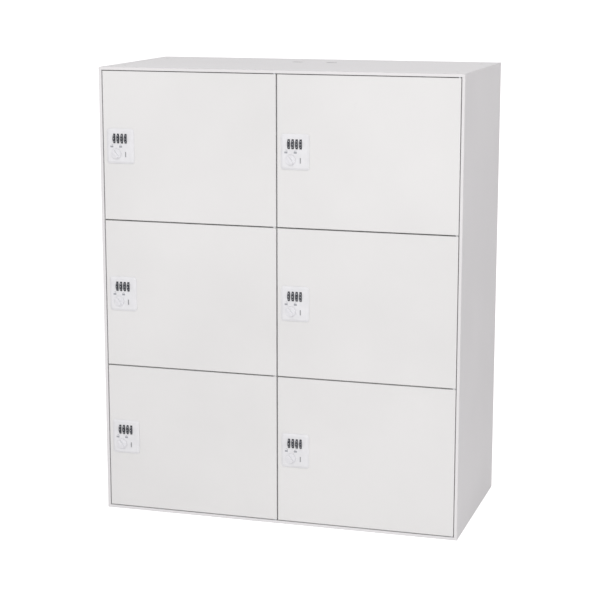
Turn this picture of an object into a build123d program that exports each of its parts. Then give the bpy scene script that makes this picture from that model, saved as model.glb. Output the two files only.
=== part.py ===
from build123d import *
import os
from math import sqrt

# Personal locker of folded sheet steel: two columns of three compartments, each behind
# a flush door that hangs on pivot pins and closes with a four-wheel combination lock.
# +Z is up, the doors face -Y, and the origin is the middle of the base.

# Cabinet
WIDTH = 900.0
DEPTH = 450.0
HEIGHT = 1110.0
SHEET = 0.8
COLUMNS = ["left", "right"]
ROWS = ["bottom", "middle", "top"]
SHELVES = ["lower", "upper"]
EDGE = 7.0
STOP_FLANGE = 15.0
REAR_FLANGE = 15.0
LIP = 12.0
SHELF_FRONT = 26.0
PARTITION_CHANNEL = 15.0

# Doors
DOOR_THICKNESS = 20.0
DOOR_GAP = 3.0
EDGE_GAP = 2.0
BUFFER_GAP = 1.5
DOOR_BEND = 1.5
DOOR_LIP = 12.0
DOOR_OVERLAP = 13.0

# Pivots
PIVOT_INSET = 4.5
PIN_RADIUS = 2.5
PIN_REACH = 8.0
PIN_GRIP = 4.0
PIN_CLEARANCE = 0.1
PIN_FIT = 0.05
LUG_THICKNESS = 1.6
LUG_RADIUS = 4.0

# Holes in the top and the base
BOLT_FROM_SIDE = 35.0
BOLT_FROM_FACE = 80.0
BOLT_HOLE_RADIUS = 4.5
SLOT_SPACING = 88.0
SLOT_LENGTH = 30.0
SLOT_WIDTH = 16.0
SLOT_FROM_BACK = 130.0

# Lock case
PLATE_WIDTH = 70.0
PLATE_HEIGHT = 85.0
PLATE_THICKNESS = 5.0
PLATE_CORNER = 7.0
BEVEL_WIDTH = 5.0
BEVEL_DEPTH = 3.0
PLATE_FROM_EDGE = 10.0
CASE_WIDTH = 56.0
CASE_HEIGHT = 72.0
CASE_BEHIND_DOOR = 2.5
CASE_CLEARANCE = 0.3

# Combination wheels
WHEEL_COUNT = 4
WHEEL_PITCH = 9.8
WHEEL_WIDTH = 5.0
WHEEL_RADIUS = 12.5
WHEEL_DEPTH = 7.0
WHEEL_HEIGHT = 18.5
DIGITS = 10
NOTCH_WIDTH = 1.6
AXLE_RADIUS = 2.0
WHEEL_CLEARANCE = 0.4
WINDOW_WALL = 2.0

# Knob, spindle and cam
KNOB_X = -10.0
KNOB_Z = -18.5
KNOB_RADIUS = 12.5
KNOB_DISC = 3.6
GRIP_LENGTH = 21.6
GRIP_WIDTH = 7.0
GRIP_HEIGHT = 6.5
GRIP_DRAFT = 4.0
KNOB_SEAT_GAP = 0.3
KNOB_EDGE = 1.0
KNOB_TURN = 70.0
SPINDLE_RADIUS = 4.0
SPINDLE_CLEARANCE = 0.1
CAM_SEAT_RADIUS = 3.0
CAM_THICKNESS = 3.0
CAM_GAP = 0.8
CAM_LENGTH = 32.0
CAM_END_RADIUS = 6.5
CAM_NUT = 2.0

# Slot for the spare key
KEY_X = 14.0
KEY_Z = -20.0
KEY_SLOT_WIDTH = 3.0
KEY_SLOT_HEIGHT = 13.0
KEY_DEPTH = 18.0

FRONT = -DEPTH / 2
BACK = DEPTH / 2
STOP_Y = FRONT + DOOR_THICKNESS + BUFFER_GAP
INNER_BACK = BACK - 2 * SHEET
FRAME_X = WIDTH / 2 - EDGE
DOOR_WIDTH = (2 * FRAME_X - 2 * EDGE_GAP - DOOR_GAP) / len(COLUMNS)
DOOR_HEIGHT = (HEIGHT - 2 * EDGE - 2 * EDGE_GAP - (len(ROWS) - 1) * DOOR_GAP) / len(ROWS)
PIVOT_Y = FRONT + PIVOT_INSET


def block(x, y, z):
    """A block between two places on each axis."""
    size = Box(x[1] - x[0], y[1] - y[0], z[1] - z[0], align=(Align.MIN, Align.MIN, Align.MIN))
    return Pos(x[0], y[0], z[0]) * size


def folded(points, side, plane, length):
    """Sheet folded along the points, with its thickness on one side, as long as given both ways."""
    outline = offset(Polyline(*points), amount=SHEET, side=side, kind=Kind.INTERSECTION)
    return extrude(plane * make_face(outline.edges()), amount=length / 2, both=True)


def door_x(column):
    """Left and right edge of a column's doors."""
    left = -FRAME_X + EDGE_GAP + column * (DOOR_WIDTH + DOOR_GAP)
    return left, left + DOOR_WIDTH


def door_z(row):
    """Lower and upper edge of a row's doors."""
    low = EDGE + EDGE_GAP + row * (DOOR_HEIGHT + DOOR_GAP)
    return low, low + DOOR_HEIGHT


def pivot_x(column):
    """The doors turn about a line just inside their right edge."""
    return door_x(column)[1] - PIVOT_INSET


def side_panel(side):
    """Outer side: rear flange, skin, front edge, wall beside the doors and the flange they stop on."""
    skin = WIDTH / 2
    points = [
        (skin - REAR_FLANGE, BACK),
        (skin, BACK),
        (skin, FRONT),
        (FRAME_X, FRONT),
        (FRAME_X, STOP_Y),
        (FRAME_X - STOP_FLANGE, STOP_Y),
    ]
    plane = Plane.XY.offset(HEIGHT / 2)
    panel = folded(points, Side.RIGHT, plane, HEIGHT)
    folds = (FRAME_X - STOP_FLANGE - 1, skin - SHEET)
    panel -= block(folds, (FRONT, BACK), (HEIGHT - EDGE, HEIGHT))
    panel -= block(folds, (FRONT, BACK), (0, EDGE))
    return panel if side == "right" else mirror(panel, Plane.YZ)


def end_panel():
    """Top of the cabinet, folded like the sides and cut back at its corners where they pass."""
    points = [
        (BACK, HEIGHT - REAR_FLANGE),
        (BACK, HEIGHT),
        (FRONT, HEIGHT),
        (FRONT, HEIGHT - EDGE),
        (STOP_Y, HEIGHT - EDGE),
        (STOP_Y, HEIGHT - EDGE - STOP_FLANGE),
    ]
    panel = folded(points, Side.LEFT, Plane.YZ, WIDTH - 2 * SHEET)
    hanging = (Align.CENTER, Align.CENTER, Align.MAX)
    stop = Box(2 * (EDGE + STOP_FLANGE), 4 * SHEET, 2 * STOP_FLANGE, align=hanging)
    rear = Box(2 * REAR_FLANGE, 2 * SHEET, 2 * REAR_FLANGE, align=hanging)
    for sign in (-1, 1):
        corner = Pos(sign * WIDTH / 2, 0, 0)
        panel -= corner * Pos(0, STOP_Y, HEIGHT - EDGE) * stop
        panel -= corner * Pos(0, BACK, HEIGHT - SHEET) * rear
    bolts = GridLocations(WIDTH - 2 * BOLT_FROM_SIDE, DEPTH - 2 * BOLT_FROM_FACE, 2, 2)
    panel -= Pos(0, 0, HEIGHT) * bolts * Cylinder(BOLT_HOLE_RADIUS, 4 * SHEET)
    pin_hole = Cylinder(PIN_RADIUS + PIN_FIT, 4 * SHEET)
    for column in range(len(COLUMNS)):
        panel -= Pos(pivot_x(column), PIVOT_Y, HEIGHT - EDGE) * pin_hole
    return panel


def top_panel():
    """The top also has two slots towards the back, where a unit above or a wall stay is fixed."""
    places = Pos(0, BACK - SLOT_FROM_BACK, HEIGHT) * GridLocations(SLOT_SPACING, 1, 2, 1)
    slots = Sketch() + places * SlotOverall(SLOT_LENGTH, SLOT_WIDTH)
    return end_panel() - extrude(slots, amount=2 * SHEET, both=True)


def base_panel():
    """The base is the top turned over."""
    return Pos(0, 0, HEIGHT) * mirror(end_panel(), Plane.XY)


def back_panel():
    """Flat sheet in front of the rear flanges."""
    inside = WIDTH / 2 - SHEET
    return block((-inside, inside), (INNER_BACK, INNER_BACK + SHEET), (SHEET, HEIGHT - SHEET))


def centre_partition():
    """Upright between the columns: door stop in front, a channel, the web and a rear flange."""
    half = DOOR_GAP / 2 + DOOR_OVERLAP
    web = -SHEET / 2
    points = [
        (half, STOP_Y),
        (-half, STOP_Y),
        (-half, STOP_Y + PARTITION_CHANNEL),
        (web, STOP_Y + PARTITION_CHANNEL),
        (web, INNER_BACK - SHEET),
        (web - LIP, INNER_BACK - SHEET),
    ]
    panel = folded(points, Side.RIGHT, Plane.XY.offset(HEIGHT / 2), HEIGHT - 2 * SHEET)
    front = (STOP_Y - 1, STOP_Y + PARTITION_CHANNEL - SHEET)
    reach = EDGE + STOP_FLANGE
    panel -= block((-half - 1, half + 1), front, (0, reach))
    panel -= block((-half - 1, half + 1), front, (HEIGHT - reach, HEIGHT))
    return panel


def shelf(column, level):
    """Shelf with a folded front behind the gap between two doors, and a rear flange."""
    gap = door_z(level)[1] + DOOR_GAP / 2
    floor = gap + SHELF_FRONT / 2
    start = STOP_Y + SHEET
    points = [
        (start + LIP, floor - SHELF_FRONT),
        (start, floor - SHELF_FRONT),
        (start, floor),
        (INNER_BACK, floor),
        (INNER_BACK, floor - LIP),
    ]
    web = SHEET / 2
    length = WIDTH / 2 - SHEET - web
    middle = web + length / 2
    if COLUMNS[column] == "right":
        return folded(points, Side.RIGHT, Plane.YZ.offset(middle), length)
    sheet = folded(points, Side.RIGHT, Plane.YZ.offset(-middle), length)
    channel = -(DOOR_GAP / 2 + DOOR_OVERLAP)
    span = (floor - SHELF_FRONT - 1, floor + 1)
    sheet -= block((channel, 0), (start - 1, STOP_Y + PARTITION_CHANNEL), span)
    sheet -= block((-web - LIP, 0), (INNER_BACK - SHEET, INNER_BACK + 1), span)
    return sheet


def pin_spans():
    """Foot and head of each pivot pin of a column, from the base to the top."""
    spans = [(EDGE - PIN_GRIP, door_z(0)[0] + PIN_REACH)]
    for row in range(len(ROWS) - 1):
        spans.append((door_z(row)[1] - PIN_REACH, door_z(row + 1)[0] + PIN_REACH))
    spans.append((door_z(len(ROWS) - 1)[1] - PIN_REACH, HEIGHT - EDGE + PIN_GRIP))
    return spans


def pivot_pins():
    """Steel pins that the doors hang and turn on."""
    pins = []
    for column in range(len(COLUMNS)):
        for foot, head in pin_spans():
            pin = Cylinder(PIN_RADIUS, head - foot, align=(Align.CENTER, Align.CENTER, Align.MIN))
            pins.append(Pos(pivot_x(column), PIVOT_Y, foot) * pin)
    return pins


def pivot_lugs():
    """Lugs welded to the stop flanges, which carry the pins between two doors."""
    length = STOP_Y - PIVOT_Y
    outline = Circle(LUG_RADIUS) + Pos(0, length / 2) * Rectangle(2 * LUG_RADIUS, length)
    outline -= Circle(PIN_RADIUS + PIN_FIT)
    lug = extrude(outline, amount=LUG_THICKNESS / 2, both=True)
    lugs = []
    for column in range(len(COLUMNS)):
        for row in range(len(ROWS) - 1):
            middle = door_z(row)[1] + DOOR_GAP / 2
            lugs.append(Pos(pivot_x(column), PIVOT_Y, middle) * lug)
    return lugs


def lock_centre(column, row):
    """Middle of a lock's plate on the door's front face."""
    x = door_x(column)[0] + PLATE_FROM_EDGE + PLATE_WIDTH / 2
    return Pos(x, FRONT, sum(door_z(row)) / 2)


def door(column, row):
    """Folded pan with a plain inner panel, open where the lock and the pivot pins pass."""
    x0, x1 = door_x(column)
    z0, z1 = door_z(row)
    rear = FRONT + DOOR_THICKNESS
    pan = block((x0, x1), (FRONT, rear), (z0, z1))
    pan = fillet(pan.faces().sort_by(Axis.Y)[0].edges(), DOOR_BEND)
    pan -= block((x0 + SHEET, x1 - SHEET), (FRONT + SHEET, rear - SHEET), (z0 + SHEET, z1 - SHEET))
    pan -= block(
        (x0 + DOOR_LIP, x1 - DOOR_LIP), (rear - 2 * SHEET, rear + SHEET), (z0 + DOOR_LIP, z1 - DOOR_LIP)
    )
    for end in (z0, z1):
        pan -= Pos(pivot_x(column), PIVOT_Y, end) * Cylinder(PIN_RADIUS + PIN_CLEARANCE, 4 * SHEET)
    inner = block(
        (x0 + SHEET, x1 - SHEET), (rear - 2 * SHEET, rear - SHEET), (z0 + SHEET, z1 - SHEET)
    )
    opening = Box(CASE_WIDTH + 2 * CASE_CLEARANCE, 3 * DOOR_THICKNESS, CASE_HEIGHT + 2 * CASE_CLEARANCE)
    opening = lock_centre(column, row) * opening
    return [pan - opening, inner - opening]


FACE = Plane(origin=(0, 0, 0), x_dir=(1, 0, 0), z_dir=(0, -1, 0))
AXLE_Y = WHEEL_DEPTH - PLATE_THICKNESS
WHEEL_ROW = [WHEEL_PITCH * (n - (WHEEL_COUNT - 1) / 2) for n in range(WHEEL_COUNT)]
CASE_BACK = DOOR_THICKNESS + CASE_BEHIND_DOOR
CAM_FRONT = CASE_BACK + CAM_GAP


def lock_case():
    """Cast case: bevelled plate in front of the door, body through it, wheel chamber and axle."""
    plate = extrude(FACE * RectangleRounded(PLATE_WIDTH, PLATE_HEIGHT, PLATE_CORNER), amount=PLATE_THICKNESS)
    front = plate.faces().sort_by(Axis.Y)[0]
    plate = chamfer(front.edges(), BEVEL_WIDTH, BEVEL_DEPTH, reference=front)
    case = plate + extrude(FACE * Rectangle(CASE_WIDTH, CASE_HEIGHT), amount=-CASE_BACK)

    row_half = WHEEL_ROW[-1] + WHEEL_WIDTH / 2 + WHEEL_CLEARANCE
    chamber_radius = WHEEL_RADIUS + WHEEL_CLEARANCE
    inside = WINDOW_WALL - PLATE_THICKNESS
    chamber = block(
        (-row_half, row_half),
        (inside, AXLE_Y + chamber_radius),
        (WHEEL_HEIGHT - chamber_radius, WHEEL_HEIGHT + chamber_radius),
    )
    case -= chamber
    window = 2 * (sqrt(WHEEL_RADIUS**2 - (AXLE_Y - inside) ** 2) + WHEEL_CLEARANCE)
    for x in WHEEL_ROW:
        opening = Box(WHEEL_WIDTH + 2 * WHEEL_CLEARANCE, 2 * PLATE_THICKNESS, window)
        case -= Pos(x, -PLATE_THICKNESS, WHEEL_HEIGHT) * opening
    axle = Rot(0, 90, 0) * Cylinder(AXLE_RADIUS, 2 * row_half + WINDOW_WALL)
    case += Pos(0, AXLE_Y, WHEEL_HEIGHT) * axle

    bore = Rot(90, 0, 0) * Cylinder(SPINDLE_RADIUS + SPINDLE_CLEARANCE, 4 * CASE_BACK)
    case -= Pos(KNOB_X, 0, KNOB_Z) * bore
    key = FACE.offset(PLATE_THICKNESS) * Pos(KEY_X, KEY_Z) * Rectangle(KEY_SLOT_WIDTH, KEY_SLOT_HEIGHT)
    case -= extrude(key, amount=-KEY_DEPTH)
    return case


def wheel(x):
    """Combination wheel: ten flats, one for each digit, with a finger notch at every corner."""
    outline = RegularPolygon(WHEEL_RADIUS, DIGITS)
    notch = Rot(0, 0, 45) * Rectangle(NOTCH_WIDTH, NOTCH_WIDTH)
    outline -= PolarLocations(WHEEL_RADIUS, DIGITS) * notch
    outline -= Circle(AXLE_RADIUS + PIN_CLEARANCE)
    disc = extrude(Plane.YZ * outline, amount=WHEEL_WIDTH / 2, both=True)
    half_digit = 180 / DIGITS
    return Pos(x, AXLE_Y, WHEEL_HEIGHT) * Rot(half_digit, 0, 0) * disc


def knob():
    """Round knob with a grip across it and the spindle behind, as it stands when unlocked."""
    disc = extrude(FACE * Circle(KNOB_RADIUS), amount=KNOB_DISC)
    grip = FACE.offset(KNOB_DISC) * SlotOverall(GRIP_LENGTH, GRIP_WIDTH)
    grip = extrude(grip, amount=GRIP_HEIGHT, taper=GRIP_DRAFT)
    turned = Rot(0, -(90 + KNOB_TURN / 2), 0) * (
        chamfer(disc.faces().sort_by(Axis.Y)[0].edges(), KNOB_EDGE) + grip
    )
    front = Pos(0, -PLATE_THICKNESS - KNOB_SEAT_GAP, 0) * turned
    spindle = extrude(FACE.offset(PLATE_THICKNESS + KNOB_SEAT_GAP) * Circle(SPINDLE_RADIUS),
                      amount=-(PLATE_THICKNESS + KNOB_SEAT_GAP + CAM_FRONT))
    seat = extrude(FACE.offset(-CAM_FRONT) * Circle(CAM_SEAT_RADIUS), amount=-(CAM_THICKNESS + CAM_NUT))
    return Pos(KNOB_X, 0, KNOB_Z) * (front + spindle + seat)


def cam():
    """Locking tongue on the spindle. It hangs down when unlocked and turns behind the stop flange."""
    reach = CAM_LENGTH - CAM_END_RADIUS
    outline = Pos(reach / 2, 0) * SlotCenterToCenter(reach, 2 * CAM_END_RADIUS) - Circle(CAM_SEAT_RADIUS)
    tongue = extrude(FACE.offset(-CAM_FRONT) * Rot(0, 0, 180 + KNOB_TURN) * outline, amount=-CAM_THICKNESS)
    return Pos(KNOB_X, 0, KNOB_Z) * tongue


def write(node, solids):
    """One file for each piece."""
    shapes = solids if isinstance(solids, list) else [solids]
    shapes = [solid for shape in shapes for solid in shape.solids()]
    for solid in shapes:
        solid.label = node
    shape = shapes[0] if len(shapes) == 1 else Compound(children=shapes, label=node)
    export_step(shape, f"parts/{node}.step")


os.makedirs("parts", exist_ok=True)

write("side_panel_left", side_panel("left"))
write("side_panel_right", side_panel("right"))
write("top_panel", top_panel())
write("base_panel", base_panel())
write("back_panel", back_panel())
write("centre_partition", centre_partition())
write("pivot_pins", pivot_pins())
write("pivot_lugs", pivot_lugs())
for column, side in enumerate(COLUMNS):
    for level, name in enumerate(SHELVES):
        write(f"shelf_{side}_{name}", shelf(column, level))

case = lock_case()
wheels = [wheel(x) for x in WHEEL_ROW]
turning_knob = knob()
tongue = cam()
for column, side in enumerate(COLUMNS):
    for row, name in enumerate(ROWS):
        place = lock_centre(column, row)
        write(f"door_{side}_{name}", door(column, row))
        write(f"lock_case_{side}_{name}", place * case)
        write(f"knob_{side}_{name}", place * turning_knob)
        write(f"cam_{side}_{name}", place * tongue)
        for number, piece in enumerate(wheels, start=1):
            write(f"dial_{side}_{name}_{number}", place * piece)
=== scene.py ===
import math

import bmesh
import bpy
from mathutils import Matrix, Vector


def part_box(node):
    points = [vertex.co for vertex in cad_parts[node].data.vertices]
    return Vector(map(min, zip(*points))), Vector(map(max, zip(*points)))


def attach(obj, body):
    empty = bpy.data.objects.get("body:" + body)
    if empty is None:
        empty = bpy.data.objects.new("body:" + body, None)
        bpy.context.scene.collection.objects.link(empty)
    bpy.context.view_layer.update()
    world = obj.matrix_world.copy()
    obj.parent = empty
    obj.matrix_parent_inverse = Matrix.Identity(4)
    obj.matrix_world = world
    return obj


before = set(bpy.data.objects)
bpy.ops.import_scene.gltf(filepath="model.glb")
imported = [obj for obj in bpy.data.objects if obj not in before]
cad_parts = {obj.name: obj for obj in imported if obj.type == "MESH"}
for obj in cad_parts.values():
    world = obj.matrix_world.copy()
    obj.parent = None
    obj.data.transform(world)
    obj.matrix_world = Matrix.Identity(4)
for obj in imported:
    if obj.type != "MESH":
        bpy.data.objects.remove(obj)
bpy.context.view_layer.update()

# Cabinet: panels, partition and shelves folded from thin steel sheet, with a flat back and small
# pivot lugs, all welded together and powder coated off-white. The coat has a fine orange peel and
# carries faint clouds and handling marks. It is a little paler on the folds: partly a thinner coat
# there, partly a painted highlight for the light caught by the rounded edges.
SHEET_COLOUR = (0.80, 0.795, 0.80)
SHEET_ROUGHNESS = 0.46
COAT_CLOUD_SCALE = 2.6
COAT_MARK_SCALE = 34.0
COAT_PEEL_SCALE = 900.0
COAT_PEEL_STRENGTH = 0.35
COAT_PEEL_HEIGHT = 0.00002
COAT_SHINE = 0.42
FOLD_RADIUS = 0.0011
FOLD_SAMPLES = 6
FLAT_COSINE = 0.985
FOLD_COSINE = 0.86
MIX_FACTOR, MIX_FIRST, MIX_SECOND, MIX_RESULT = 0, 6, 7, 2


def new_material(name):
    """A new material, with its node tree and its main shader."""
    material = bpy.data.materials.new(name)
    material.use_nodes = True
    tree = material.node_tree
    shader = tree.nodes["Principled BSDF"]
    return material, tree, shader


def add_node(tree, kind, **inputs):
    """A node with some of its sockets set, or linked where another node's socket is given."""
    node = tree.nodes.new(kind)
    for name, value in inputs.items():
        socket = node.inputs[name.replace("_", " ")]
        if isinstance(value, bpy.types.NodeSocket):
            tree.links.new(value, socket)
        else:
            socket.default_value = value
    return node


def object_noise(tree, scale, detail=2.0, roughness=0.5):
    """Noise fixed to the piece."""
    place = tree.nodes.new("ShaderNodeTexCoord").outputs["Object"]
    return add_node(tree, "ShaderNodeTexNoise", Vector=place, Scale=scale, Detail=detail, Roughness=roughness)


def ramp(tree, factor, stops):
    """A colour ramp with its stops given as (place, colour)."""
    node = add_node(tree, "ShaderNodeValToRGB", Fac=factor)
    elements = node.color_ramp.elements
    while len(elements) < len(stops):
        elements.new(0.5)
    for element, (place, colour) in zip(elements, stops):
        element.position = place
        element.color = (*colour, 1.0)
    return node.outputs["Color"]


def fold_mask(tree, radius):
    """White along folds and edges, black on the flats."""
    rounded = tree.nodes.new("ShaderNodeBevel")
    rounded.samples = FOLD_SAMPLES
    rounded.inputs["Radius"].default_value = radius
    flat = tree.nodes.new("ShaderNodeNewGeometry")
    dot = tree.nodes.new("ShaderNodeVectorMath")
    dot.operation = "DOT_PRODUCT"
    tree.links.new(rounded.outputs["Normal"], dot.inputs[0])
    tree.links.new(flat.outputs["Normal"], dot.inputs[1])
    mask = tree.nodes.new("ShaderNodeMapRange")
    mask.inputs["From Min"].default_value = FLAT_COSINE
    mask.inputs["From Max"].default_value = FOLD_COSINE
    tree.links.new(dot.outputs["Value"], mask.inputs["Value"])
    return rounded.outputs["Normal"], mask.outputs["Result"]


def mixed(tree, factor, first, second):
    """Two colours, mixed by a factor."""
    node = tree.nodes.new("ShaderNodeMix")
    node.data_type = "RGBA"
    for index, value in ((MIX_FACTOR, factor), (MIX_FIRST, first), (MIX_SECOND, second)):
        if isinstance(value, bpy.types.NodeSocket):
            tree.links.new(value, node.inputs[index])
        else:
            node.inputs[index].default_value = value if index == MIX_FACTOR else (*value, 1.0)
    return node.outputs[MIX_RESULT]


def spread(tree, value, low, high):
    """A factor from 0 to 1 spread over another range."""
    return add_node(tree, "ShaderNodeMapRange", Value=value, To_Min=low, To_Max=high).outputs["Result"]


def shaded(colour, factor):
    """A colour made darker or lighter by a factor."""
    return tuple(min(1.0, factor * c) for c in colour)


def raise_grain(tree, shader, grain, strength, height, **normal):
    """Raises a surface by a grain, over its rounded folds where their normal is given."""
    bump = add_node(tree, "ShaderNodeBump", Height=grain, Strength=strength, Distance=height, **normal)
    tree.links.new(bump.outputs["Normal"], shader.inputs["Normal"])


def powder_coat(name, colour, roughness):
    """Off-white powder coat, with a fine peel, faint clouds, handling marks, and folds painted paler as a
    thinner coat and a painted highlight.
    """
    material, tree, shader = new_material(name)
    clouds = object_noise(tree, COAT_CLOUD_SCALE, 3.0).outputs["Fac"]
    coat = ramp(tree, clouds, [(0.32, shaded(colour, 0.955)), (0.62, colour)])
    marks = object_noise(tree, COAT_MARK_SCALE, 6.0, 0.72).outputs["Fac"]
    marks = add_node(tree, "ShaderNodeMapRange", Value=marks, From_Min=0.66, From_Max=0.78, To_Max=0.55)
    coat = mixed(tree, marks.outputs["Result"], coat, shaded(colour, 0.93))
    # Paler folds: partly a thinner coat, partly a painted highlight of the rounded edges.
    normal, folds = fold_mask(tree, FOLD_RADIUS)
    coat = mixed(tree, folds, coat, shaded(colour, 1.06))
    tree.links.new(coat, shader.inputs["Base Color"])
    grain = object_noise(tree, COAT_PEEL_SCALE, 2.0).outputs["Fac"]
    tree.links.new(spread(tree, clouds, roughness - 0.05, roughness + 0.07), shader.inputs["Roughness"])
    raise_grain(tree, shader, grain, COAT_PEEL_STRENGTH, COAT_PEEL_HEIGHT, Normal=normal)
    shader.inputs["Specular IOR Level"].default_value = COAT_SHINE
    return material


def dress(node, material):
    """Gives a carried-over piece its finish."""
    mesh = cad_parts[node].data
    mesh.materials.clear()
    mesh.materials.append(material)
    for face in mesh.polygons:
        face.material_index = 0


sheet_coat = powder_coat("off_white_sheet_coat", SHEET_COLOUR, SHEET_ROUGHNESS)
for node in (
    "side_panel_left",
    "side_panel_right",
    "top_panel",
    "base_panel",
    "back_panel",
    "centre_partition",
    "pivot_lugs",
    "shelf_left_lower",
    "shelf_left_upper",
    "shelf_right_lower",
    "shelf_right_upper",
):
    dress(node, sheet_coat)

# Pivot pins and cams are turned and stamped from mild steel and zinc plated bright. The plate
# has a cloudy, slightly blue passivated bloom, and is rubbed on the edges that run.
ZINC_COLOUR = (0.66, 0.67, 0.69)
ZINC_COOL = (0.82, 0.88, 1.0)
ZINC_RUBBED = (0.82, 0.82, 0.82)
ZINC_EDGE = 0.0004
ZINC_BLOOM_SCALE = 220.0
ZINC_SCRATCH_SCALE = 2400.0
ZINC_SCRATCH_HEIGHT = 0.00001


def zinc_plate(name, colour):
    """Bright zinc plate with a cloudy bloom and rubbed edges."""
    material, tree, shader = new_material(name)
    bloom = object_noise(tree, ZINC_BLOOM_SCALE, 4.0, 0.65).outputs["Fac"]
    cool = tuple(c * k for c, k in zip(colour, ZINC_COOL))
    plate = ramp(tree, bloom, [(0.3, cool), (0.7, colour)])
    normal, folds = fold_mask(tree, ZINC_EDGE)
    plate = mixed(tree, folds, plate, ZINC_RUBBED)
    tree.links.new(plate, shader.inputs["Base Color"])
    tree.links.new(spread(tree, bloom, 0.24, 0.44), shader.inputs["Roughness"])
    scratch = object_noise(tree, ZINC_SCRATCH_SCALE, 2.0).outputs["Fac"]
    raise_grain(tree, shader, scratch, 0.3, ZINC_SCRATCH_HEIGHT, Normal=normal)
    shader.inputs["Metallic"].default_value = 1.0
    return material


zinc = zinc_plate("bright_zinc_plate", ZINC_COLOUR)
dress("pivot_pins", zinc)

# Doors: each is a pan folded from sheet, with an inner panel welded into it, coated with the
# same paint as the cabinet but on a flatter, smoother sheet that shines a little more.
DOOR_COLOUR = (0.805, 0.805, 0.80)
DOOR_ROUGHNESS = 0.4
DOORS = [f"{side}_{level}" for side in ("left", "right") for level in ("bottom", "middle", "top")]
door_coat = powder_coat("off_white_door_coat", DOOR_COLOUR, DOOR_ROUGHNESS)
for door in DOORS:
    dress(f"door_{door}", door_coat)

# Buffers: two soft grey rubber discs for each door, stuck to the stop flange beside the lock,
# so that the door closes quietly and stands flush.
BUFFER_RADIUS = 0.004
BUFFER_THICKNESS = 0.0012
BUFFER_EDGE = 0.0003
BUFFER_FROM_EDGE = 0.0065
BUFFER_FROM_CORNER = 0.035
RUBBER_COLOUR = (0.32, 0.32, 0.33)
RUBBER_GRAIN_SCALE = 700.0
RUBBER_GRAIN_HEIGHT = 0.00003
DISC_SIDES = 20
RIM_STEPS = 3


def finished_piece(shape, name, material):
    """A piece made from a bmesh, with its faces turned outwards."""
    bmesh.ops.remove_doubles(shape, verts=shape.verts, dist=1e-7)
    bmesh.ops.recalc_face_normals(shape, faces=shape.faces)
    mesh = bpy.data.meshes.new(name)
    shape.to_mesh(mesh)
    shape.free()
    for face in mesh.polygons:
        face.use_smooth = False
    mesh.materials.append(material)
    piece = bpy.data.objects.new(name, mesh)
    bpy.context.scene.collection.objects.link(piece)
    return piece


def add_cylinder(shape, place, radius, length, sides, edge=0.0):
    """A cylinder along local Z from its foot, with its outer rim rounded where an edge is given."""
    made = bmesh.ops.create_cone(
        shape,
        cap_ends=True,
        segments=sides,
        radius1=radius,
        radius2=radius,
        depth=length,
        matrix=place @ Matrix.Translation((0, 0, length / 2)),
    )
    if edge:
        top = place @ Vector((0, 0, length))
        axis = (place.to_3x3() @ Vector((0, 0, 1))).normalized()
        rim = [
            e
            for v in made["verts"]
            for e in v.link_edges
            if all(abs((w.co - top).dot(axis)) < 1e-6 for w in e.verts)
        ]
        bmesh.ops.bevel(
            shape,
            geom=list(dict.fromkeys(rim)),
            offset=edge,
            affect="EDGES",
            segments=RIM_STEPS,
            profile=0.5,
            material=-1,
        )


def rubber(name, colour):
    """Soft rubber with a fine matt grain."""
    material, tree, shader = new_material(name)
    grain = object_noise(tree, RUBBER_GRAIN_SCALE, 3.0).outputs["Fac"]
    skin = ramp(tree, grain, [(0.3, colour), (0.75, shaded(colour, 1.25))])
    tree.links.new(skin, shader.inputs["Base Color"])
    raise_grain(tree, shader, grain, 0.4, RUBBER_GRAIN_HEIGHT)
    tree.links.new(spread(tree, grain, 0.72, 0.86), shader.inputs["Roughness"])
    return material


buffer_rubber = rubber("grey_buffer_rubber", RUBBER_COLOUR)
FACING_FRONT = Matrix.Rotation(math.radians(90), 4, "X")
stop_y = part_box("pivot_lugs")[1].y
buffers = bmesh.new()
for door in DOORS:
    low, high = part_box(f"door_{door}")
    for z in (low.z + BUFFER_FROM_CORNER, high.z - BUFFER_FROM_CORNER):
        place = Matrix.Translation((low.x + BUFFER_FROM_EDGE, stop_y, z)) @ FACING_FRONT
        add_cylinder(buffers, place, BUFFER_RADIUS, BUFFER_THICKNESS, DISC_SIDES, BUFFER_EDGE)
buffers = finished_piece(buffers, "door_buffers", buffer_rubber)
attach(buffers, "carcass")

# Lock cases: cool white moulded plastic with a satin skin. The plate in front of the door has
# a wide bevel, and four windows for the wheels. A grey shutter closes the key slot just below
# the surface, and four cross-head screws close each case behind.
SCREW_RADIUS = 0.0026
SCREW_HEIGHT = 0.0009
SCREW_EDGE = 0.0004
SCREW_X = 0.023
SCREW_Z = 0.031
CROSS_SIZE = (SCREW_RADIUS * 1.3, 0.0006, 0.00008)
CROSS_TURNS = (25, 115)
KEY_SLOT = (0.014, -0.020)
SHUTTER_SIZE = (0.0029, 0.001, 0.0129)
SHUTTER_DEPTH = 0.0016
CASE_COLOUR = (0.815, 0.82, 0.84)
CASE_ROUGHNESS = 0.42
# Paler colour along the case's edges: a painted highlight.
CASE_EDGE_HIGHLIGHT = (0.87, 0.875, 0.89)
SHUTTER_COLOUR = (0.36, 0.365, 0.38)
SHUTTER_ROUGHNESS = 0.5
# Paler colour along the shutter's edges: a painted highlight.
SHUTTER_EDGE_HIGHLIGHT = (0.45, 0.455, 0.47)
PLASTIC_FLOW_SCALE = 45.0
PLASTIC_GRAIN_SCALE = 2600.0
PLASTIC_GRAIN_HEIGHT = 0.000012
PLASTIC_EDGE = 0.0006


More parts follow.
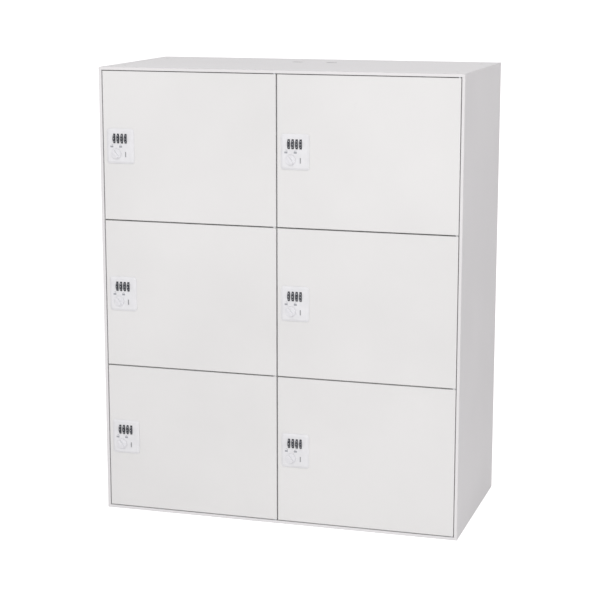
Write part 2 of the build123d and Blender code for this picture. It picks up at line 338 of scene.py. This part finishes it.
def moulded_plastic(name, colour, roughness, edge_highlight_colour):
    """Moulded plastic with faint flow marks, a fine eroded skin, and a painted highlight along its edges."""
    material, tree, shader = new_material(name)
    flow = object_noise(tree, PLASTIC_FLOW_SCALE, 3.0).outputs["Fac"]
    skin = ramp(tree, flow, [(0.3, shaded(colour, 0.94)), (0.68, colour)])
    # Paler edges: a painted highlight, as of light caught by the rounded edges.
    normal, edges = fold_mask(tree, PLASTIC_EDGE)
    skin = mixed(tree, edges, skin, edge_highlight_colour)
    tree.links.new(skin, shader.inputs["Base Color"])
    grain = object_noise(tree, PLASTIC_GRAIN_SCALE, 2.0).outputs["Fac"]
    raise_grain(tree, shader, grain, 0.3, PLASTIC_GRAIN_HEIGHT, Normal=normal)
    tree.links.new(spread(tree, flow, roughness - 0.04, roughness + 0.06), shader.inputs["Roughness"])
    return material


case_plastic = moulded_plastic("cool_white_case", CASE_COLOUR, CASE_ROUGHNESS, CASE_EDGE_HIGHLIGHT)
shutter_plastic = moulded_plastic("grey_key_shutter", SHUTTER_COLOUR, SHUTTER_ROUGHNESS, SHUTTER_EDGE_HIGHLIGHT)
for door in DOORS:
    node = f"lock_case_{door}"
    dress(node, case_plastic)
    low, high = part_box(node)
    middle = (low + high) / 2
    shutter = bmesh.new()
    seat = Vector((middle.x + KEY_SLOT[0], low.y + SHUTTER_DEPTH, middle.z + KEY_SLOT[1]))
    size = Matrix.Diagonal((*SHUTTER_SIZE, 1))
    bmesh.ops.create_cube(shutter, size=1.0, matrix=Matrix.Translation(seat) @ size)
    shutter = finished_piece(shutter, f"key_shutter_{door}", shutter_plastic)
    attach(shutter, f"door_{door}")
    screws = bmesh.new()
    for sx in (-1, 1):
        for sz in (-1, 1):
            seat = Vector((middle.x + sx * SCREW_X, high.y, middle.z + sz * SCREW_Z))
            place = Matrix.Translation(seat) @ FACING_FRONT.inverted()
            add_cylinder(screws, place, SCREW_RADIUS, SCREW_HEIGHT, DISC_SIDES, SCREW_EDGE)
            head = place @ Matrix.Translation((0, 0, SCREW_HEIGHT))
            for turn in CROSS_TURNS:
                bar = head @ Matrix.Rotation(math.radians(turn), 4, "Z")
                bar = bar @ Matrix.Diagonal((*CROSS_SIZE, 1))
                bmesh.ops.create_cube(screws, size=1.0, matrix=bar)
    screws = finished_piece(screws, f"case_screws_{door}", zinc)
    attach(screws, f"door_{door}")

# Marks over the knob: a small open padlock on the left and a closed one on the right, printed
# in grey, show which way the knob stands when the lock is open or shut.
MARK_INK = 0.00004
MARK_BODY = (0.0074, 0.0042)
MARK_SHACKLE = 0.0022
MARK_LINE = 0.0009
MARK_LEG = 0.0003
MARK_LIFT = 0.0172
MARK_SIDES = (-0.0115, 0.0115)
MARK_COLOUR = (0.33, 0.34, 0.37)
INK_GRAIN_SCALE = 3000.0
SHACKLE_STEPS = 10
SHACKLE_SWING = -38


def ink(name, colour):
    """Printed ink, a little uneven."""
    material, tree, shader = new_material(name)
    cover = object_noise(tree, INK_GRAIN_SCALE, 3.0).outputs["Fac"]
    thin = tuple(min(1.0, c * 1.2 + 0.02) for c in colour)
    tree.links.new(ramp(tree, cover, [(0.35, colour), (0.8, thin)]), shader.inputs["Base Color"])
    tree.links.new(spread(tree, cover, 0.45, 0.6), shader.inputs["Roughness"])
    return material


def add_padlock(shape, place, is_open):
    """A flat padlock: a body with a shackle over it, swung up on its right leg where it is open."""
    half_x, half_z = MARK_BODY[0] / 2, MARK_BODY[1] / 2
    bmesh.ops.create_grid(shape, x_segments=1, y_segments=1, size=1.0)
    body = shape.verts[:]
    bmesh.ops.transform(shape, verts=body, matrix=Matrix.Diagonal((half_x, half_z, 1, 1)))
    inner = shape.verts.new((MARK_SHACKLE - MARK_LINE / 2, half_z, 0))
    outer = shape.verts.new((MARK_SHACKLE + MARK_LINE / 2, half_z, 0))
    edge = shape.edges.new((inner, outer))
    bmesh.ops.spin(
        shape,
        geom=[inner, outer, edge],
        cent=(0, half_z, 0),
        axis=(0, 0, 1),
        angle=math.pi,
        steps=SHACKLE_STEPS,
        use_merge=False,
    )
    shackle = [v for v in shape.verts if v not in body]
    bmesh.ops.translate(shape, verts=shackle, vec=(0, MARK_LEG, 0))
    if is_open:
        hinge = Matrix.Translation((MARK_SHACKLE, half_z, 0))
        swing = hinge @ Matrix.Rotation(math.radians(SHACKLE_SWING), 4, "Z") @ hinge.inverted()
        bmesh.ops.transform(shape, verts=shackle, matrix=swing)
    walls = bmesh.ops.extrude_face_region(shape, geom=shape.faces[:])
    raised = [v for v in walls["geom"] if isinstance(v, bmesh.types.BMVert)]
    bmesh.ops.translate(shape, verts=raised, vec=(0, 0, MARK_INK))
    bmesh.ops.transform(shape, verts=shape.verts[:], matrix=place)


mark_ink = ink("grey_mark_ink", MARK_COLOUR)
for door in DOORS:
    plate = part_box(f"lock_case_{door}")[0].y
    low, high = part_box(f"knob_{door}")
    knob_x = (low.x + high.x) / 2
    knob_z = (low.z + high.z) / 2
    for name, side, is_open in (("open", MARK_SIDES[0], True), ("closed", MARK_SIDES[1], False)):
        shape = bmesh.new()
        place = Matrix.Translation((knob_x + side, plate, knob_z + MARK_LIFT)) @ FACING_FRONT
        add_padlock(shape, place, is_open)
        mark = finished_piece(shape, f"{name}_mark_{door}", mark_ink)
        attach(mark, f"door_{door}")

# Combination wheels: near-black moulded plastic, with a white number printed on each of the
# ten flats. The four wheels of a lock stand at different numbers.
DIAL_COUNT = 4
DIGITS = 10
DIGIT_HEIGHT = 0.0052
DIGIT_INK = 0.00003
REST_DIGITS = (7, 3, 0, 5, 2, 8)
REST_STEP = 3
DIAL_COLOUR = (0.022, 0.025, 0.036)
DIAL_ROUGHNESS = 0.34
# Paler colour along the wheels' edges: a painted highlight.
DIAL_EDGE_HIGHLIGHT = (0.06, 0.065, 0.08)
DIGIT_COLOUR = (0.72, 0.73, 0.75)
dial_plastic = moulded_plastic("near_black_dial", DIAL_COLOUR, DIAL_ROUGHNESS, DIAL_EDGE_HIGHLIGHT)
digit_ink = ink("white_digit_ink", DIGIT_COLOUR)


def flat_digit(digit):
    """One number as a mesh, centred and lying flat."""
    text = bpy.data.curves.new(f"digit_{digit}", "FONT")
    text.body = str(digit)
    text.size = DIGIT_HEIGHT
    text.extrude = DIGIT_INK
    text.resolution_u = 2
    text.align_x = "CENTER"
    text.align_y = "CENTER"
    holder = bpy.data.objects.new(f"digit_{digit}", text)
    bpy.context.scene.collection.objects.link(holder)
    bpy.context.view_layer.update()
    mesh = bpy.data.meshes.new_from_object(holder)
    bpy.data.objects.remove(holder)
    xs = [v.co.x for v in mesh.vertices]
    ys = [v.co.y for v in mesh.vertices]
    mesh.transform(Matrix.Translation((-(min(xs) + max(xs)) / 2, -(min(ys) + max(ys)) / 2, 0)))
    return mesh


digit_meshes = [flat_digit(digit) for digit in range(DIGITS)]
for index, door in enumerate(DOORS):
    for number in range(1, DIAL_COUNT + 1):
        node = f"dial_{door}_{number}"
        dress(node, dial_plastic)
        low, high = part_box(node)
        axle = (low + high) / 2
        apothem = (high.y - low.y) / 2
        first = REST_DIGITS[index] + REST_STEP * number
        shape = bmesh.new()
        for digit in range(DIGITS):
            turn = 2 * math.pi * (digit - first) / DIGITS
            place = Matrix.Translation(axle) @ Matrix.Rotation(turn, 4, "X") @ FACING_FRONT
            place = place @ Matrix.Translation((0, 0, apothem))
            before = len(shape.verts)
            shape.from_mesh(digit_meshes[digit])
            shape.verts.ensure_lookup_table()
            bmesh.ops.transform(shape, verts=shape.verts[before:], matrix=place)
        digits = finished_piece(shape, f"digits_{door}_{number}", digit_ink)
        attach(digits, node)
for mesh in digit_meshes:
    bpy.data.meshes.remove(mesh)

# Knobs: cool white plastic like that of the cases, polished by use, with a painted highlight along
# their edges. A washer and a hexagon nut behind the door hold the zinc plated cam on each spindle.
NUT_RADIUS = 0.0056
NUT_HEIGHT = 0.0018
NUT_SIDES = 6
NUT_EDGE = 0.0003
WASHER_RADIUS = 0.0062
WASHER_HEIGHT = 0.0004
WASHER_SIDES = 28
KNOB_COLOUR = (0.82, 0.825, 0.85)
KNOB_ROUGHNESS = 0.3
# Paler colour along the knob's edges: a painted highlight.
KNOB_EDGE_HIGHLIGHT = (0.88, 0.885, 0.9)
knob_plastic = moulded_plastic("cool_white_knob", KNOB_COLOUR, KNOB_ROUGHNESS, KNOB_EDGE_HIGHLIGHT)
for door in DOORS:
    dress(f"knob_{door}", knob_plastic)
    dress(f"cam_{door}", zinc)
    low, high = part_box(f"knob_{door}")
    spindle = Vector(((low.x + high.x) / 2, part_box(f"cam_{door}")[1].y, (low.z + high.z) / 2))
    place = Matrix.Translation(spindle) @ FACING_FRONT.inverted()
    nut = bmesh.new()
    add_cylinder(nut, place, WASHER_RADIUS, WASHER_HEIGHT, WASHER_SIDES)
    on_washer = place @ Matrix.Translation((0, 0, WASHER_HEIGHT))
    add_cylinder(nut, on_washer, NUT_RADIUS, NUT_HEIGHT, NUT_SIDES, NUT_EDGE)
    nut = finished_piece(nut, f"cam_nut_{door}", zinc)
    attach(nut, f"knob_{door}")

# Studio: a pale floor, lifted to white for the camera so that only the cabinet's shadow is left
# on it, one large soft lamp in front on the right, and an even sky that shows white.
FLOOR_SIZE = 60.0
FLOOR_LIFT = 0.6
FLOOR_COLOUR = (0.86, 0.86, 0.86, 1)
FLOOR_ROUGHNESS = 0.9
WHITE = (1.0, 1.0, 1.0, 1.0)
SKY_COLOUR = (1.0, 0.975, 0.99, 1)
SKY_STRENGTH = 0.69
LAMP_PLACE = Vector((0.9, -4.6, 2.6))
LAMP_TARGET = Vector((0.1, 0, 0.65))
LAMP_SIZE = 3.2
LAMP_POWER = 84.0
LAMP_COLOUR = (1.0, 0.995, 0.98)


def larger(tree, first, second):
    """The larger of two values."""
    node = tree.nodes.new("ShaderNodeMath")
    node.operation = "MAXIMUM"
    tree.links.new(first, node.inputs[0])
    tree.links.new(second, node.inputs[1])
    return node.outputs["Value"]


floor_material, tree, shader = new_material("pale_studio_floor")
shader.inputs["Base Color"].default_value = FLOOR_COLOUR
shader.inputs["Roughness"].default_value = FLOOR_ROUGHNESS
path = tree.nodes.new("ShaderNodeLightPath")
lift = add_node(tree, "ShaderNodeMath", Value=path.outputs["Is Camera Ray"])
lift.operation = "MULTIPLY"
lift.inputs[1].default_value = FLOOR_LIFT
glow = add_node(tree, "ShaderNodeEmission", Color=WHITE, Strength=lift.outputs["Value"])
total = tree.nodes.new("ShaderNodeAddShader")
tree.links.new(shader.outputs[0], total.inputs[0])
tree.links.new(glow.outputs[0], total.inputs[1])
tree.links.new(total.outputs[0], tree.nodes["Material Output"].inputs["Surface"])
shape = bmesh.new()
bmesh.ops.create_grid(shape, x_segments=1, y_segments=1, size=FLOOR_SIZE)
floor = finished_piece(shape, "studio_floor", floor_material)

world = bpy.data.worlds.new("studio_sky")
bpy.context.scene.world = world
world.use_nodes = True
tree = world.node_tree
sky = tree.nodes["Background"]
sky.inputs["Color"].default_value = SKY_COLOUR
sky.inputs["Strength"].default_value = SKY_STRENGTH
white = add_node(tree, "ShaderNodeBackground", Color=WHITE, Strength=1.0)
path = tree.nodes.new("ShaderNodeLightPath")
seen = larger(tree, path.outputs["Is Camera Ray"], path.outputs["Is Glossy Ray"])
seen = larger(tree, seen, path.outputs["Is Transmission Ray"])
choice = tree.nodes.new("ShaderNodeMixShader")
tree.links.new(seen, choice.inputs[0])
tree.links.new(sky.outputs[0], choice.inputs[1])
tree.links.new(white.outputs[0], choice.inputs[2])
tree.links.new(choice.outputs[0], tree.nodes["World Output"].inputs["Surface"])

light = bpy.data.lights.new("front_lamp", "AREA")
light.size = LAMP_SIZE
light.energy = LAMP_POWER
light.color = LAMP_COLOUR
lamp = bpy.data.objects.new("front_lamp", light)
lamp.location = LAMP_PLACE
lamp.rotation_euler = (LAMP_TARGET - LAMP_PLACE).to_track_quat("-Z", "Y").to_euler()
bpy.context.scene.collection.objects.link(lamp)

# Camera: the photograph's place, turn and framing, with upright lines let converge a little so
# that no lens shift is needed.
SENSOR = 36.0
PHOTO_WIDTH = 598
FOCAL_PIXELS = 1729.8
CAMERA_X = 1.2299
CAMERA_FROM_FRONT = 3.8859
CAMERA_Z = 1.38
CAMERA_TURN = 16.812
CAMERA_PITCH = 11.319
data = bpy.data.cameras.new("camera")
data.sensor_width = SENSOR
data.lens = FOCAL_PIXELS / PHOTO_WIDTH * SENSOR
camera = bpy.data.objects.new("camera", data)
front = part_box("side_panel_right")[0].y
camera.location = (CAMERA_X, front - CAMERA_FROM_FRONT, CAMERA_Z)
camera.rotation_euler = (math.radians(90 - CAMERA_PITCH), 0, math.radians(CAMERA_TURN))
bpy.context.scene.collection.objects.link(camera)
bpy.context.scene.camera = camera
bpy.context.scene.view_settings.view_transform = "Standard"
